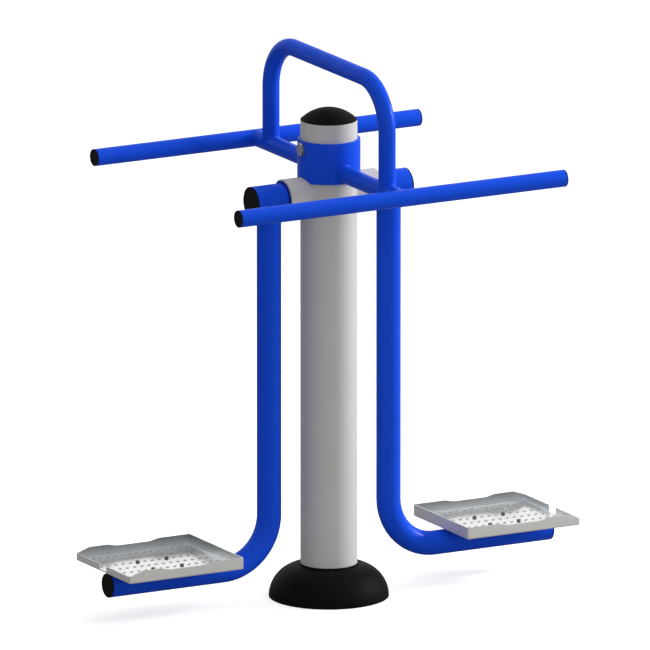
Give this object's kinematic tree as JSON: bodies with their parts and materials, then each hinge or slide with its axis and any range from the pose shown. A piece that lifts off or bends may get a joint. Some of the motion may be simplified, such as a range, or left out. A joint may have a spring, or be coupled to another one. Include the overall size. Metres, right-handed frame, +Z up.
{
  "type": "outdoor back and waist trainer",
  "caption": "Outdoor double pendulum trainer: two hanging legs with footplates swing on an axle through a central column, under long handrails and a top hoop.",
  "frame": {"origin": "on the ground at the column's axis, in the plane of the base plate's underside", "axes": "+Z up; +X along the swing axle towards the right-hand leg; +Y away from the front handrail"},
  "size_m": [1.256, 0.7824, 1.3622],
  "materials": {
    "galvanised_steel": "hot-dip galvanised, dull spangle",
    "black_plastic": "moulded black polyethylene, satin",
    "grey_paint": "powder-coated light grey, satin",
    "blue_paint": "powder-coated blue, semi-gloss",
    "machined_steel": "turned steel, oiled",
    "bearing_steel": "ground bearing steel",
    "zinc_steel": "zinc-plated steel",
    "footplate_steel": "pressed stainless sheet, brushed",
    "black_oxide_steel": "black-oxide steel"
  },
  "bodies": {
    "post": {"base_plate": "galvanised_steel", "base_gussets": "galvanised_steel", "base_cover": "black_plastic", "column_tube": "grey_paint", "column_cap": "black_plastic", "bearing_housing": "grey_paint", "left_end_disc": "machined_steel", "right_end_disc": "machined_steel", "axle": "machined_steel", "left_inner_ring_a": "bearing_steel", "left_inner_ring_b": "bearing_steel", "right_inner_ring_a": "bearing_steel", "right_inner_ring_b": "bearing_steel", "left_sleeve": "machined_steel", "right_sleeve": "machined_steel", "left_axle_washer": "zinc_steel", "right_axle_washer": "zinc_steel", "left_axle_nut": "zinc_steel", "right_axle_nut": "zinc_steel", "collar": "blue_paint", "locking_bolt": "zinc_steel", "locking_washer": "zinc_steel", "locking_nut": "zinc_steel", "front_arm": "blue_paint", "rear_arm": "blue_paint", "top_hoop": "blue_paint", "front_handrail": "blue_paint", "rear_handrail": "blue_paint", "front_left_plug": "black_plastic", "front_right_plug": "black_plastic", "rear_left_plug": "black_plastic", "rear_right_plug": "black_plastic"},
    "left_pendulum": {"left_hub": "blue_paint", "left_hub_flange": "blue_paint", "left_outer_ring_a": "bearing_steel", "left_outer_ring_b": "bearing_steel", "left_balls_a": "bearing_steel", "left_balls_b": "bearing_steel", "left_hub_cap": "black_plastic", "left_leg": "blue_paint", "left_leg_plug": "black_plastic", "left_bracket": "blue_paint", "left_footplate": "footplate_steel", "left_foot_bolts": "black_oxide_steel", "left_foot_nuts": "black_oxide_steel"},
    "right_pendulum": {"right_hub": "blue_paint", "right_hub_flange": "blue_paint", "right_outer_ring_a": "bearing_steel", "right_outer_ring_b": "bearing_steel", "right_balls_a": "bearing_steel", "right_balls_b": "bearing_steel", "right_hub_cap": "black_plastic", "right_leg": "blue_paint", "right_leg_plug": "black_plastic", "right_bracket": "blue_paint", "right_footplate": "footplate_steel", "right_foot_bolts": "black_oxide_steel", "right_foot_nuts": "black_oxide_steel"}
  },
  "joints": [
    {"name": "left_swing", "type": "hinge", "parent": "post", "child": "left_pendulum", "pos_m": [-0.17, 0, 1.012], "axis": [1, 0, 0], "range_deg": [-60, 60]},
    {"name": "right_swing", "type": "hinge", "parent": "post", "child": "right_pendulum", "pos_m": [0.17, 0, 1.012], "axis": [1, 0, 0], "range_deg": [-60, 60]}
  ]
}
